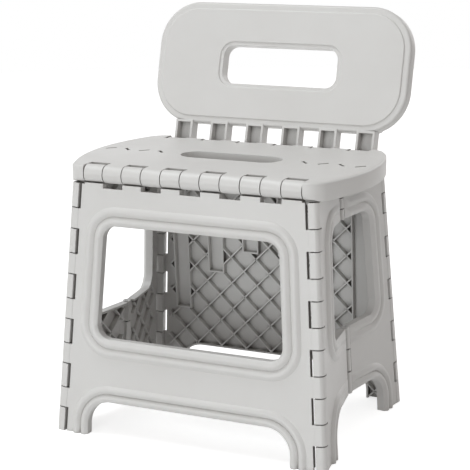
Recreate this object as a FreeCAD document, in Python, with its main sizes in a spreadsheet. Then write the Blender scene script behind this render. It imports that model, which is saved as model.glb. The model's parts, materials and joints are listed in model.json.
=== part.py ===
import FreeCAD, Part
import math
import os
import Sketcher
from FreeCAD import Placement, Rotation, Vector

# Driving sizes of the stool, in millimetres and degrees.
sizes = {
    # stance: the four corner hinge lines spread from the seat to the floor
    "seat_height": 275.0,
    "rim_height": 18.0,
    "corner_half_width": 126.0,
    "corner_half_depth": 90.5,
    "splay_width": 17.0,
    "splay_depth": 17.0,
    "side_set_in": 12.0,
    "seat_gap": 1.0,
    # moulded walls
    "skin": 2.5,
    "flange_depth": 8.0,
    "flange_wall": 2.2,
    "rib_wall": 1.6,
    "rib_depth": 6.0,
    "rib_pitch": 42.6,
    "rib_margin": 14.0,
    "side_rib_margin": 24.0,
    "rib_foot": 3.0,
    # double beads round the openings
    "bead_width": 9.7,
    "bead_height": 2.2,
    "arch_bead_width": 8.5,
    "bead_flats": 3,
    # windows and foot arches; a window's top edge is measured down from the seat
    "window_top": 58.5,
    "window_bottom": 101.5,
    "window_inset": 35.0,
    "window_corner": 14.0,
    "arch_top": 36.5,
    "arch_inset": 32.0,
    "arch_corner": 26.0,
    "side_window_top": 54.0,
    "side_window_bottom": 111.0,
    "side_window_inset": 37.0,
    "side_arch_top": 42.0,
    "side_arch_inset": 35.5,
    # flats on each quarter turn of a knuckle
    "knuckle_flats": 4,
    # corner hinges
    "corner_barrel": 5.0,
    "corner_depth": 4.8,
    "corner_knuckles": 6,
    "side_knuckle": 24.0,
    "knuckle_gap": 1.0,
    "slot_reach": 7.4,
    "corner_pin": 1.8,
    "corner_pin_end": 3.0,
    # middle hinges of the sides
    "middle_barrel": 3.8,
    "middle_depth": 1.3,
    "middle_edge": 6.3,
    "middle_pin": 1.5,
    "fold_relief": 13.4,
    # seat and backrest hinges
    "hinge_half_depth": 88.0,
    "hinge_pitch": 42.2,
    "hinge_knuckles": 6,
    "hinge_knuckle": 20.3,
    "hinge_side_gap": 0.8,
    "hinge_clearance": 1.2,
    "hinge_pin": 2.2,
    # pins in their square cored holes, as clearance on each flat
    "pin_held": 0.01,
    "pin_running": 0.05,
    "open_pivot": 0.15,
    # seat
    "seat_half_width": 153.0,
    "seat_bulge": 19.0,
    "seat_corner": 22.0,
    "seat_top_wall": 3.0,
    "seat_wall": 2.6,
    "seat_edge_bevel": 2.5,
    "seat_bar": 13.0,
    "seat_rib_depth": 9.0,
    "slot_length": 110.0,
    "slot_width": 36.0,
    "slot_collar": 11.0,
    "slit_count": 4,
    "slit_length": 7.0,
    "slit_width": 1.8,
    "slit_start": 80.0,
    "slit_step": 19.5,
    "slit_turn": 35.0,
    # troughs inside the rear panel, in line with the backrest's arms
    "trough_width": 19.0,
    "trough_depth": 9.0,
    "trough_long": 177.0,
    "trough_medium": 131.0,
    "trough_short": 105.0,
    "rear_bar_height": 6.0,
    # backrest
    "backrest_lean": 15.0,
    "backrest_set_back": 10.7,
    "backrest_bottom": 27.4,
    "backrest_height": 132.8,
    "backrest_half_width": 145.7,
    "backrest_corner": 46.0,
    "backrest_depth": 14.0,
    "backrest_wall": 2.6,
    "backrest_rib_depth": 9.0,
    "backrest_border": 7.0,
    "backrest_plateau": 1.5,
    "backrest_edge_bevel": 2.5,
    "hole_half_width": 66.2,
    "hole_height": 41.7,
    "hole_bottom": 44.8,
    "hole_corner": 12.0,
    "hole_step": 3.5,
    "arm_barrel": 8.2,
    "arm_depth": 9.0,
    "arm_under": 4.9,
    "arm_heel": 4.1,
    "arm_wall": 2.6,
    "arm_web": 3.0,
    "arm_round": 7.0,
}

doc = FreeCAD.newDocument("FoldingStool")
sheet = doc.addObject("Spreadsheet::Sheet", "Sizes")
for row, (name, value) in enumerate(sizes.items(), start=1):
    sheet.set(f"A{row}", name)
    sheet.set(f"B{row}", str(value))
    sheet.setAlias(f"B{row}", name)
doc.recompute()


def size(name):
    return float(sheet.get(name))


upright = Placement(Vector(), Rotation(Vector(1, 0, 0), 90))
endways = Placement(Vector(), Rotation(Vector(0, 1, 0), Vector(0, 0, 1), Vector(1, 0, 0), "ZXY"))
reach_past = 20.0
far_past = 400.0
through = ("20 mm", "20 mm")
soft_share = 0.95
same_place = 0.01
rim_bottom = size("seat_height") - size("rim_height")
panel_top = rim_bottom - size("seat_gap")
hinge_height = size("seat_height") - size("rim_height") / 2
window_head = size("seat_height") - size("window_top")
side_window_head = size("seat_height") - size("side_window_top")


# Document objects


def add(kind, name, **values):
    thing = doc.addObject(kind, name)
    for key, value in values.items():
        setattr(thing, key, value)
    return thing


def bind(thing, **formulas):
    for key, formula in formulas.items():
        thing.setExpression(key, formula)
    return thing


def fuse(name, pieces, refine=True):
    return add("Part::MultiFuse", name, Shapes=pieces, Refine=refine)


def cut(name, base, tools):
    tool = tools[0] if len(tools) == 1 else add("Part::MultiFuse", name + "_tools", Shapes=tools)
    return add("Part::Cut", name, Base=base, Tool=tool, Refine=True)


def sketch(name, edges, placement=upright):
    thing = add("Sketcher::SketchObject", name)
    thing.addGeometry(edges, False)
    thing.Placement = placement
    return thing


def rounded(points, closed=True, flats=0):
    """Lines through points given as across, up and corner radius, with arcs or equal flats at the corners."""
    count = len(points)
    corners = []
    for i, (across, up, radius) in enumerate(points):
        corner = Vector(across, up, 0)
        if radius == 0:
            corners.append((corner, corner, corner))
            continue
        before = Vector(points[i - 1][0], points[i - 1][1], 0) - corner
        after = Vector(points[(i + 1) % count][0], points[(i + 1) % count][1], 0) - corner
        half = before.getAngle(after) / 2
        before.normalize()
        after.normalize()
        centre = corner + (before + after).normalize() * (radius / math.sin(half))
        middle = centre + (corner - centre).normalize() * radius
        reach = radius / math.tan(half)
        corners.append((corner + before * reach, middle, corner + after * reach))
    edges = []
    for i, (start, middle, end) in enumerate(corners):
        if start != end:
            arc = Part.ArcOfCircle(start, middle, end)
            spots = arc.discretize(flats + 1) if flats else []
            edges += [Part.LineSegment(a, b) for a, b in zip(spots[:-1], spots[1:])] or [arc]
        if closed or i < count - 1:
            edges.append(Part.LineSegment(end, corners[(i + 1) % count][0]))
    return edges


def slab(name, points, outward, inward, placement=upright):
    """Outline extruded outward and inward from a panel's outer face."""
    outline = sketch(name + "_outline", rounded(points), placement)
    thing = add("Part::Extrusion", name, Base=outline, DirMode="Normal", Solid=True)
    return bind(thing, LengthFwd=outward, LengthRev=inward)


def along_line(line, low):
    foot, head = line
    along = (head - foot).normalize()
    return Placement(foot + along * low, Rotation(Vector(0, 0, 1), along))


def barrel(name, line, low, high, radius):
    """Cylinder on a hinge line, between two distances from the line's foot."""
    thing = add("Part::Cylinder", name, Height=high - low, Placement=along_line(line, low))
    return bind(thing, Radius=radius)


def pin_hole(name, line, low, high, radius, clearance):
    """Square cored hole for a pin, whose flats stand clear of it by the clearance."""
    half = size(radius) + size(clearance)
    corner = Placement(Vector(-half, -half, 0), Rotation())
    thing = add("Part::Box", name, Height=high - low, Placement=along_line(line, low).multiply(corner))
    side = f"2 mm * (Sizes.{radius} + Sizes.{clearance})"
    return bind(thing, Length=side, Width=side)


def knuckle(name, line, low, high, reach, left_round, right_round):
    """Knuckle along a hinge line, square inside and rounded on its outer side."""
    foot, head = line
    along = (head - foot).normalize()
    facing = Rotation(Vector(1, 0, 0), Vector(0, 1, 0), along, "ZXY")
    points = [
        (-reach, -reach, left_round),
        (reach, -reach, right_round),
        (reach, reach, 0),
        (-reach, reach, 0),
    ]
    edges = rounded(points, flats=int(size("knuckle_flats")))
    profile = sketch(f"{name}_profile", edges, Placement(foot + along * low, facing))
    thing = add("Part::Extrusion", name, Base=profile, DirMode="Normal", Solid=True)
    thing.LengthFwd = high - low
    return thing


def block(name, line, low, high, across, deep, turn=0.0):
    """Box that runs along a hinge line, placed across and inward from it."""
    foot, head = line
    along = (head - foot).normalize()
    facing = Rotation(Vector(1, 0, 0), Vector(0, 1, 0), along, "ZXY")
    facing = facing.multiply(Rotation(Vector(0, 0, 1), turn))
    near, far = sorted(across)
    shallow, inner = deep
    thing = add("Part::Box", name, Length=far - near, Width=inner - shallow, Height=high - low)
    thing.Placement = Placement(foot + facing.multVec(Vector(near, shallow, low)), facing)
    return thing


def below_floor(name, frame):
    """Everything under the floor, seen from a panel's own frame."""
    thing = add("Part::Box", name, Length=2 * far_past, Width=2 * far_past, Height=far_past)
    thing.Placement = frame.inverse().multiply(Placement(Vector(-far_past, -far_past, -far_past), Rotation()))
    return thing


def bead_profile(width):
    """Two beads side by side on the outer face, and a flange inward along the opening's edge."""
    wide = size(width)
    crown = size("bead_height")
    depth = size("flange_depth")
    wall = size("flange_wall")
    skin_middle = size("skin") / 2
    flats = int(size("bead_flats"))
    radius = (wide ** 2 / 4 + crown ** 2) / (2 * crown)
    spread = 2 * math.asin(wide / 2 / radius)
    points = [(0, -depth, 0)]
    for middle in (wide / 2, 3 * wide / 2):
        for k in range(flats):
            turn = spread * (k / flats - 1 / 2)
            points.append((middle + radius * math.sin(turn), crown - radius + radius * math.cos(turn), 0))
    points += [(2 * wide, 0, 0), (2 * wide, -skin_middle, 0), (wall, -skin_middle, 0), (wall, -depth, 0)]
    return rounded(points)


def bead(name, path, closed, width):
    """Double bead round an opening: straight runs, and corners turned about their centres."""
    middle = Vector()
    for across, up, radius in path:
        middle = middle + Vector(across, up, 0) / len(path)
    outward = Vector(0, -1, 0)
    pieces = []
    for edge in rounded(path, closed):
        start = edge.StartPoint
        run = edge.EndPoint - start
        straight = isinstance(edge, Part.LineSegment)
        away = Vector(-run.y, run.x, 0) if straight else start - edge.Center
        if away.dot(start - middle) < 0:
            away = away * -1
        across = upright.multVec(away.normalize())
        lie = Placement(upright.multVec(start), Rotation(across, outward, across.cross(outward), "XYZ"))
        profile = sketch(f"{name}_profile", bead_profile(width), lie)
        if straight:
            piece = add("Part::Extrusion", f"{name}_run", Base=profile, DirMode="Custom", Solid=True)
            piece.Dir = upright.multVec(run)
            piece.LengthFwd = run.Length
        else:
            spoke = edge.EndPoint - edge.Center
            piece = add("Part::Revolution", f"{name}_turn", Source=profile, Solid=True)
            piece.Base = upright.multVec(edge.Center)
            piece.Axis = upright.multVec(away.cross(spoke)).normalize()
            piece.Angle = math.degrees(away.getAngle(spoke))
        pieces.append(piece)
    return pieces


def flat_field(name, edges, lie=upright):
    outline = sketch(name + "_outline", edges, lie)
    return add("Part::Face", name, Sources=[outline], FaceMakerClass="Part::FaceMakerBullseye")


def open_field(name, outline, gaps):
    """Flat field inside an outline, less the gaps in it."""
    whole = flat_field(f"{name}_whole", rounded(outline))
    return cut(name, whole, [flat_field(f"{name}_gap", rounded(gap)) for gap in gaps])


def lattice(name, field, box, shallow, inner, lie=upright):
    """Diamond ribs: a flat field, whose box is given as across and up limits, less its open cells."""
    low_across, high_across, low_up, high_up = box
    centre = Vector((low_across + high_across) / 2, (low_up + high_up) / 2, 0)
    step = size("rib_pitch") / math.sqrt(2)
    half = (size("rib_pitch") - size("rib_wall")) / math.sqrt(2)
    columns = math.ceil((high_across - low_across) / 2 / step)
    rows = math.ceil((high_up - low_up) / 2 / step)
    cells = []
    for column in range(-columns, columns + 1):
        for row in range(-rows, rows + 1):
            if (column + row) % 2 == 0:
                middle = centre + Vector(column * step, row * step, 0)
                cells += rounded([(middle.x - half, middle.y, 0), (middle.x, middle.y - half, 0),
                                  (middle.x + half, middle.y, 0), (middle.x, middle.y + half, 0)])
    web = cut(f"{name}_web", field, [flat_field(f"{name}_cells", cells, lie)])
    thing = add("Part::Extrusion", name, Base=web, DirMode="Custom", Solid=True)
    thing.Dir = lie.Rotation.multVec(Vector(0, 0, -1))
    thing.LengthFwd = inner
    thing.LengthRev = -shallow
    return thing


# Hinge lines of the stool


def corner_line(side, end):
    """Corner hinge line from the floor to the rim: side is left or right, end is front or rear."""
    spread = Vector(side * size("splay_width"), end * size("splay_depth"), 0)
    head = Vector(side * size("corner_half_width"), end * size("corner_half_depth"), rim_bottom)
    return Vector(head.x, head.y, 0) + spread, head


def middle_line(side):
    """Middle hinge line of a side, which meets its two corner lines in one point."""
    foot, head = corner_line(side, 1)
    meeting = foot.y / (foot.y - head.y)
    apex = foot + (head - foot) * meeting
    low = Vector(foot.x - side * size("side_set_in"), 0, 0)
    return low, low + (apex - low) * (1 / meeting)


def hinge_line(end):
    """Hinge line across the seat's front or rear edge."""
    left = Vector(-far_past, end * size("hinge_half_depth"), hinge_height)
    return left, left + Vector(2 * far_past, 0, 0)


def panel_frame(line, far, far_depth, start):
    """Frame of a flat panel: across, inward from its outer face, and up."""
    foot, head = line
    along = (head - foot).normalize()
    outward = along.cross(far - foot).normalize()
    if outward.dot(Vector(foot.x + far.x, foot.y + far.y, 0)) < 0:
        outward = outward * -1
    span = far + outward * far_depth - foot - outward * size("corner_depth")
    face = along.cross(span).normalize()
    if face.dot(outward) < 0:
        face = face * -1
    rise = (Vector(0, 0, 1) - face * face.z).normalize()
    origin = start + face * size("corner_depth")
    origin = origin - rise * (origin.z / rise.z)
    inward = face * -1
    return Placement(origin, Rotation(inward.cross(rise), inward, rise, "ZXY"))


def seen_from(frame, line):
    back = frame.inverse()
    return back.multVec(line[0]), back.multVec(line[1])


def across_at(line, up):
    foot, head = line
    return foot.x + (head.x - foot.x) * (up - foot.z) / (head.z - foot.z)


# Knuckles along a corner, as distances along its hinge line


def along_corner(height):
    foot, head = corner_line(1, 1)
    return height * (head - foot).Length / head.z


def side_knuckles():
    count = int(size("corner_knuckles"))
    pitch = (panel_top - size("side_knuckle")) / (count - 1)
    return [(pitch * k, pitch * k + size("side_knuckle")) for k in range(count)]


def panel_knuckles():
    gap = size("knuckle_gap")
    runs = side_knuckles()
    return [(runs[k][1] + gap, runs[k + 1][0] - gap) for k in range(len(runs) - 1)]


def hinge_places():
    count = int(size("hinge_knuckles"))
    return [(k - (count - 1) / 2) * size("hinge_pitch") for k in range(count)]


def panel_slots(name, line, towards):
    """Slots in a leg panel's edge, round the knuckles of the side beside it."""
    gap = size("knuckle_gap")
    reach = (-towards * size("slot_reach"), towards * reach_past)
    slots = []
    for low, high in side_knuckles():
        low = low - gap if low > 0 else -reach_past
        high = high + gap if high < panel_top - gap else panel_top + reach_past
        span = along_corner(low), along_corner(high)
        slots.append(block(f"{name}_slot", line, *span, reach, (-reach_past, reach_past)))
    return slots


def side_slots(name, line, towards):
    """Slots in a side's edge, round the knuckles of the leg panel beside it."""
    gap = size("knuckle_gap")
    reach = (-towards * size("slot_reach"), towards * reach_past)
    slots = []
    for low, high in panel_knuckles():
        span = along_corner(low - gap), along_corner(high + gap)
        slots.append(block(f"{name}_slot", line, *span, reach, (-reach_past, reach_past)))
    return slots


# Leg panels


def leg_panel(name, end, closed):
    left = corner_line(-1, end)
    right = corner_line(1, end)
    frame = panel_frame(left, right[0], size("corner_depth"), (left[0] + right[0]) * 0.5)
    lines = sorted((seen_from(frame, left), seen_from(frame, right)), key=lambda line: line[0].x)
    edge = lines[1]
    stretch = frame.Rotation.multVec(Vector(0, 0, 1)).z
    top = panel_top / stretch
    under = -reach_past

    skin_points = [
        (-across_at(edge, under), under, 0),
        (across_at(edge, under), under, 0),
        (across_at(edge, top), top, 0),
        (-across_at(edge, top), top, 0),
    ]
    skin = slab(f"{name}_skin", skin_points, "0 mm", "Sizes.skin * 1 mm")
    overlap = size("flange_wall") / 2

    arch_side = across_at(edge, 0) - size("arch_inset")
    arch_corner = size("arch_corner")
    arch = [
        (-arch_side, under, 0),
        (-arch_side, size("arch_top"), arch_corner),
        (arch_side, size("arch_top"), arch_corner),
        (arch_side, under, 0),
    ]
    arch_cut = [
        (-arch_side - overlap, under - reach_past, 0),
        (-arch_side - overlap, size("arch_top") + overlap, arch_corner),
        (arch_side + overlap, size("arch_top") + overlap, arch_corner),
        (arch_side + overlap, under - reach_past, 0),
    ]
    openings = [slab(f"{name}_arch_opening", arch_cut, *through)]
    trims = bead(f"{name}_arch_bead", arch, False, "arch_bead_width")

    ribs = []
    if closed:
        troughs, hollows = trough_walls(name, top)
        reach = hinge_places()[-1]
        bar = add("Part::Box", f"{name}_top_bar", Length=2 * reach)
        bind(bar, Width="(Sizes.trough_depth - Sizes.skin / 2) * 1 mm", Height="Sizes.rear_bar_height * 1 mm")
        bar.Placement = Placement(Vector(-reach, size("skin") / 2, top - size("rear_bar_height")), Rotation())
        trims += troughs + [bar]
        rib_foot = size("rib_foot")
        low = across_at(edge, rib_foot) - size("rib_margin")
        high = across_at(edge, top) - size("rib_margin")
        inner_face = [(-low, rib_foot, 0), (low, rib_foot, 0), (high, top, 0), (-high, top, 0)]
        field = open_field(f"{name}_rib_field", inner_face, [arch_cut] + hollows)
        limits = (-low, low, rib_foot, top)
        ribs.append(lattice(f"{name}_lattice", field, limits, size("skin"), size("rib_depth")))
    else:
        inset = size("window_inset")
        window_top, window_bottom = window_head, size("window_bottom")
        high = across_at(edge, window_top) - inset
        low = across_at(edge, window_bottom) - inset
        corner = size("window_corner")
        window = [
            (high, window_top, corner),
            (low, window_bottom, corner),
            (-low, window_bottom, corner),
            (-high, window_top, corner),
        ]
        window_cut = [
            (high + overlap, window_top + overlap, corner),
            (low + overlap, window_bottom - overlap, corner),
            (-low - overlap, window_bottom - overlap, corner),
            (-high - overlap, window_top + overlap, corner),
        ]
        openings.append(slab(f"{name}_window_opening", window_cut, *through))
        trims += bead(f"{name}_window_bead", window, True, "bead_width")

    plate = cut(f"{name}_plate", skin, openings)
    slots = panel_slots(name, lines[0], -1) + panel_slots(name, lines[1], 1)
    shell = cut(f"{name}_shell", fuse(f"{name}_moulding", [plate] + trims), slots)

    knuckles = []
    bores = [below_floor(f"{name}_floor", frame)]
    round_edge = size("corner_barrel")
    for line, rounds in zip(lines, ((round_edge, 0), (0, round_edge))):
        for low, high in panel_knuckles():
            span = along_corner(low), along_corner(high)
            knuckles.append(knuckle(f"{name}_knuckle", line, *span, round_edge, *rounds))
        bores.append(pin_hole(f"{name}_bore", line, 0, along_corner(panel_top), "corner_pin", "pin_held"))
    if not closed:
        hinge = seen_from(frame, hinge_line(end))
        knuckles += seat_carriers(name, hinge[0], top)
        bores.append(pin_hole(f"{name}_hinge_bore", hinge, 0, 2 * far_past, "hinge_pin", "pin_held"))
    jointed = cut(f"{name}_jointed", fuse(f"{name}_knuckled", [shell] + knuckles), bores)
    return (fuse(name, [jointed] + ribs, False) if ribs else jointed), frame


def seat_carriers(name, hinge, top):
    """Knuckles that stand on the front panel's top edge and carry the seat's front hinge pin."""
    radius = size("rim_height") / 2
    wide = size("hinge_knuckle")
    foot = top - radius
    root = hinge.y + size("skin")
    low, high = hinge.z - radius, hinge.z + radius
    soft = radius * soft_share
    profile = [
        (0, foot, 0),
        (root, foot, 0),
        (root, low, 0),
        (hinge.y + radius, low, soft),
        (hinge.y + radius, high, soft),
        (hinge.y - radius, high, soft),
        (hinge.y - radius, low, soft),
        (0, low, 0),
    ]
    carriers = []
    for place in hinge_places():
        side = Placement(Vector(place - wide / 2, 0, 0), endways.Rotation)
        outline = sketch(f"{name}_carrier_profile", rounded(profile, flats=int(size("knuckle_flats"))), side)
        carrier = add("Part::Extrusion", f"{name}_carrier", Base=outline, DirMode="Normal", Solid=True)
        carriers.append(bind(carrier, LengthFwd="Sizes.hinge_knuckle * 1 mm"))
    return carriers


def trough_walls(name, top):
    """Open troughs that hang from the rear panel's top edge, and the outlines of their hollows."""
    lengths = [size("trough_long"), size("trough_medium"), size("trough_short")]
    lengths = lengths + lengths[::-1]
    half = size("trough_width") / 2
    wall = size("rib_wall")
    walls = []
    hollows = []
    for place, length in zip(hinge_places(), lengths):
        foot = top - length
        outer = [
            (place - half, top, 0),
            (place - half, foot, 0),
            (place + half, foot, 0),
            (place + half, top, 0),
            (place + half - wall, top, 0),
            (place + half - wall, foot + wall, 0),
            (place - half + wall, foot + wall, 0),
            (place - half + wall, top, 0),
        ]
        walls.append(slab(f"{name}_trough", outer, "-Sizes.skin / 2 * 1 mm", "Sizes.trough_depth * 1 mm"))
        hollows.append([
            (place - half + wall, foot + wall, 0),
            (place + half - wall, foot + wall, 0),
            (place + half - wall, top + reach_past, 0),
            (place - half + wall, top + reach_past, 0),
        ])
    return walls, hollows


# Side halves


def middle_runs(front):
    """Knuckles of the middle hinge that belong to the front or to the rear half."""
    gap = size("knuckle_gap")
    low, high = size("side_arch_top"), size("side_window_bottom")
    third = (high - low - 2 * gap) / 3
    lower = [(low + k * (third + gap), low + k * (third + gap) + third) for k in range(3)]
    short = (2 * size("bead_width") + gap) / 2
    feet = [side_window_head, side_window_head + short + gap]
    upper = [(foot, foot + short) for foot in feet]
    return [lower[1], upper[0]] if front else [lower[0], lower[2], upper[1]]


def side_half(name, side, end, corner_fit):
    corner = corner_line(side, end)
    middle = middle_line(side)
    frame = panel_frame(corner, middle[0], size("middle_depth"), corner[0])
    hinge = seen_from(frame, corner)
    fold = seen_from(frame, middle)
    hand = 1 if fold[0].x > 0 else -1
    stretch = frame.Rotation.multVec(Vector(0, 0, 1)).z
    top = panel_top / stretch
    under = -reach_past
    edge = hand * size("middle_edge") / 2

    skin_points = [
        (across_at(hinge, under), under, 0),
        (across_at(fold, under) - edge, under, 0),
        (across_at(fold, top) - edge, top, 0),
        (across_at(hinge, top), top, 0),
    ]
    skin = slab(f"{name}_skin", skin_points, "0 mm", "Sizes.skin * 1 mm")
    overlap = size("flange_wall") / 2
    past = across_at(fold, 0) + hand * reach_past

    window_top, window_bottom = side_window_head, size("side_window_bottom")
    inset = hand * size("side_window_inset")
    high = across_at(hinge, window_top) + inset
    low = across_at(hinge, window_bottom) + inset
    round_corner = size("window_corner")
    window = [
        (past, window_top, 0),
        (high, window_top, round_corner),
        (low, window_bottom, round_corner),
        (past, window_bottom, 0),
    ]
    window_cut = [
        (past + hand, window_top + overlap, 0),
        (high - hand * overlap, window_top + overlap, round_corner),
        (low - hand * overlap, window_bottom - overlap, round_corner),
        (past + hand, window_bottom - overlap, 0),
    ]
    arch_up = size("side_arch_top")
    arch_side = across_at(hinge, 0) + hand * size("side_arch_inset")
    arch = [
        (past, arch_up, 0),
        (arch_side, arch_up, size("arch_corner")),
        (arch_side, under, 0),
    ]
    arch_cut = [
        (past + hand, arch_up + overlap, 0),
        (arch_side - hand * overlap, arch_up + overlap, size("arch_corner")),
        (arch_side - hand * overlap, under - reach_past, 0),
        (past + hand, under - reach_past, 0),
    ]
    openings = [
        slab(f"{name}_window_opening", window_cut, *through),
        slab(f"{name}_arch_opening", arch_cut, *through),
    ]
    trims = bead(f"{name}_window_bead", window, False, "bead_width")
    trims += bead(f"{name}_arch_bead", arch, False, "arch_bead_width")
    rib_foot = size("rib_foot")
    near = hand * size("side_rib_margin")
    far = -hand * 2 * size("middle_edge")
    inner_face = [
        (across_at(hinge, rib_foot) + near, rib_foot, 0),
        (across_at(fold, rib_foot) + far, rib_foot, 0),
        (across_at(fold, top) + far, top, 0),
        (across_at(hinge, top) + near, top, 0),
    ]
    field = open_field(f"{name}_rib_field", inner_face, [window_cut, arch_cut])
    limits = sorted((inner_face[0][0], inner_face[1][0])) + [rib_foot, top]
    ribs = lattice(f"{name}_lattice", field, limits, size("skin"), size("rib_depth"))

    # the fold brings the outer faces together, so they slope away from the middle hinge line
    tall = (under, top + reach_past)
    trimmed = (-hand * size("middle_edge"), hand * 2 * reach_past)
    sloped = (-hand * 3 * reach_past, hand * reach_past)
    relief = block(f"{name}_fold_relief", fold, *tall, sloped, (-reach_past, 0), hand * size("fold_relief"))
    square = block(f"{name}_fold_edge", fold, *tall, trimmed, (-reach_past, reach_past))
    plate = cut(f"{name}_plate", skin, openings)
    slots = side_slots(name, hinge, -hand)
    shell = cut(f"{name}_shell", fuse(f"{name}_moulding", [plate] + trims), slots + [relief, square])

    knuckles = []
    round_edge = size("corner_barrel")
    rounds = (round_edge, 0) if hand > 0 else (0, round_edge)
    runs = side_knuckles()
    for low_end, high_end in runs:
        low_end = low_end if low_end > 0 else -reach_past
        span = along_corner(low_end), along_corner(high_end)
        knuckles.append(knuckle(f"{name}_knuckle", hinge, *span, round_edge, *rounds))
    reach = 2 * size("middle_edge")
    barrel_reach = size("middle_barrel")
    soft = barrel_reach - size("middle_depth")
    for low_end, high_end in middle_runs(end < 0):
        knuckles.append(knuckle(f"{name}_middle_knuckle", fold, low_end, high_end, barrel_reach, soft, soft))
        knuckles.append(block(f"{name}_middle_web", fold, low_end, high_end, (-hand * reach, 0),
                              (-size("middle_depth") / 2, size("skin") - size("middle_depth"))))

    middle_fit = "pin_held" if end < 0 else "pin_running"
    bores = [
        below_floor(f"{name}_floor", frame),
        pin_hole(f"{name}_bore", hinge, 0, along_corner(panel_top), "corner_pin", corner_fit),
        pin_hole(f"{name}_middle_bore", fold, 0, panel_top, "middle_pin", middle_fit),
    ]
    jointed = cut(f"{name}_jointed", fuse(f"{name}_knuckled", [shell] + knuckles), bores)
    return fuse(name, [jointed, ribs], False), frame


# Seat


def origin_plane(body, role):
    return next(feature for feature in body.Origin.OriginFeatures if feature.Role == role)


def body_sketch(body, name, role, edges, offset):
    thing = body.newObject("Sketcher::SketchObject", name)
    thing.AttachmentSupport = [(origin_plane(body, role), "")]
    thing.MapMode = "FlatFace"
    thing.addGeometry(edges, False)
    bind(thing, **{"AttachmentOffset.Base.z": offset})
    return thing


def feature(body, kind, name, **values):
    thing = body.newObject(f"PartDesign::{kind}", name)
    for key, value in values.items():
        setattr(thing, key, value)
    return thing


def seat_outline(inset, half_depth):
    """Straight front and rear edges, rounded corners and bulging ends, all set in by the same wall."""
    half_width = size("seat_half_width") - inset
    corner = size("seat_corner") - inset
    bulge = size("seat_bulge")
    full_depth = size("hinge_half_depth")
    radius = (full_depth ** 2 + bulge ** 2) / (2 * bulge)
    end_centre = half_width - radius
    round_up = half_depth - corner
    round_across = end_centre + math.sqrt((radius - corner) ** 2 - round_up ** 2)
    spread = Vector(round_across - end_centre, round_up, 0).normalize()
    lean = Vector(spread.x, 1 + spread.y, 0).normalize()
    edges = []
    for side in (-1, 1):
        edges.append(Part.LineSegment(Vector(-round_across, side * half_depth, 0),
                                      Vector(round_across, side * half_depth, 0)))
        tips = []
        for end in (-1, 1):
            centre = Vector(side * round_across, end * round_up, 0)
            tip = centre + Vector(side * spread.x, end * spread.y, 0) * corner
            edges.append(Part.Arc(Vector(centre.x, end * half_depth, 0),
                                  centre + Vector(side * lean.x, end * lean.y, 0) * corner, tip))
            tips.append(tip)
        edges.append(Part.Arc(tips[0], Vector(side * half_width, 0, 0), tips[1]))
    return edges


def stadium(length, width):
    half = width / 2
    straight = length / 2 - half
    points = [Vector(-straight, -half, 0), Vector(straight, -half, 0), Vector(straight, half, 0),
              Vector(-straight, half, 0)]
    return [
        Part.LineSegment(points[0], points[1]),
        Part.Arc(points[1], Vector(straight + half, 0, 0), points[2]),
        Part.LineSegment(points[2], points[3]),
        Part.Arc(points[3], Vector(-straight - half, 0, 0), points[0]),
    ]


def seat_lid():
    body = add("PartDesign::Body", "seat_lid")
    edge = size("hinge_half_depth") + size("rim_height") / 2
    cavity_edge = size("hinge_half_depth") - size("seat_bar")
    outline = body_sketch(body, "seat_outline", "XY_Plane", seat_outline(0, edge), "Sizes.seat_height * 1 mm")
    pad = feature(body, "Pad", "seat_block", Profile=outline, Reversed=True)
    bind(pad, Length="Sizes.rim_height * 1 mm")
    doc.recompute()
    high = size("seat_height")
    rims = [f"Edge{i + 1}" for i, item in enumerate(pad.Shape.Edges)
            if item.BoundBox.ZMin > high - same_place]
    soft = feature(body, "Chamfer", "seat_edge", Base=(pad, rims))
    bind(soft, Size="Sizes.seat_edge_bevel * 1 mm")
    hollow = body_sketch(body, "cavity_outline", "XY_Plane", seat_outline(size("seat_wall"), cavity_edge),
                         "(Sizes.seat_height - Sizes.rim_height) * 1 mm")
    cavity = feature(body, "Pocket", "seat_cavity", Profile=hollow, Reversed=True)
    bind(cavity, Length="(Sizes.rim_height - Sizes.seat_top_wall) * 1 mm")
    mouth = body_sketch(body, "slot_outline", "XY_Plane", stadium(size("slot_length"), size("slot_width")),
                        "Sizes.seat_height * 1 mm")
    slot = feature(body, "Pocket", "hand_slot", Profile=mouth)
    bind(slot, Length="Sizes.rim_height * 1 mm")
    body.Tip = slot
    return body


def seat_ribs():
    """Lattice under the seat, with a collar round the hand slot."""
    wall = size("seat_wall")
    under_top = size("seat_height") - size("seat_top_wall") / 2
    flat = Placement(Vector(0, 0, under_top), Rotation())
    ring = sketch("collar_outline", stadium(size("slot_length") + 2 * wall, size("slot_width") + 2 * wall)
                  + stadium(size("slot_length"), size("slot_width")), flat)
    collar = add("Part::Extrusion", "slot_collar", Base=ring, DirMode="Normal", Solid=True)
    bind(collar, LengthRev="Sizes.slot_collar * 1 mm")
    cavity_edge = size("hinge_half_depth") - size("seat_bar") + wall / 2
    under = Placement(Vector(0, 0, size("seat_height") - size("seat_top_wall")), Rotation())
    field = flat_field("seat_rib_field", seat_outline(wall / 2, cavity_edge)
                       + stadium(size("slot_length") + wall, size("slot_width") + wall), under)
    wide = size("seat_half_width") + size("seat_bulge")
    limits = (-wide, wide, -cavity_edge, cavity_edge)
    ribs = lattice("seat_lattice", field, limits, 0, size("seat_rib_depth"), under)
    return collar, ribs


def knuckle_profile(end):
    """Rounded in front of a hinge line, running square into the seat."""
    radius = size("rim_height") / 2
    front = end * (size("hinge_half_depth") + radius)
    back = end * (size("hinge_half_depth") - size("seat_bar"))
    soft = radius * soft_share
    points = [
        (back, hinge_height - radius, 0),
        (front, hinge_height - radius, soft),
        (front, hinge_height + radius, soft),
        (back, hinge_height + radius, 0),
    ]
    return rounded(points, flats=int(size("knuckle_flats")))


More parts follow.
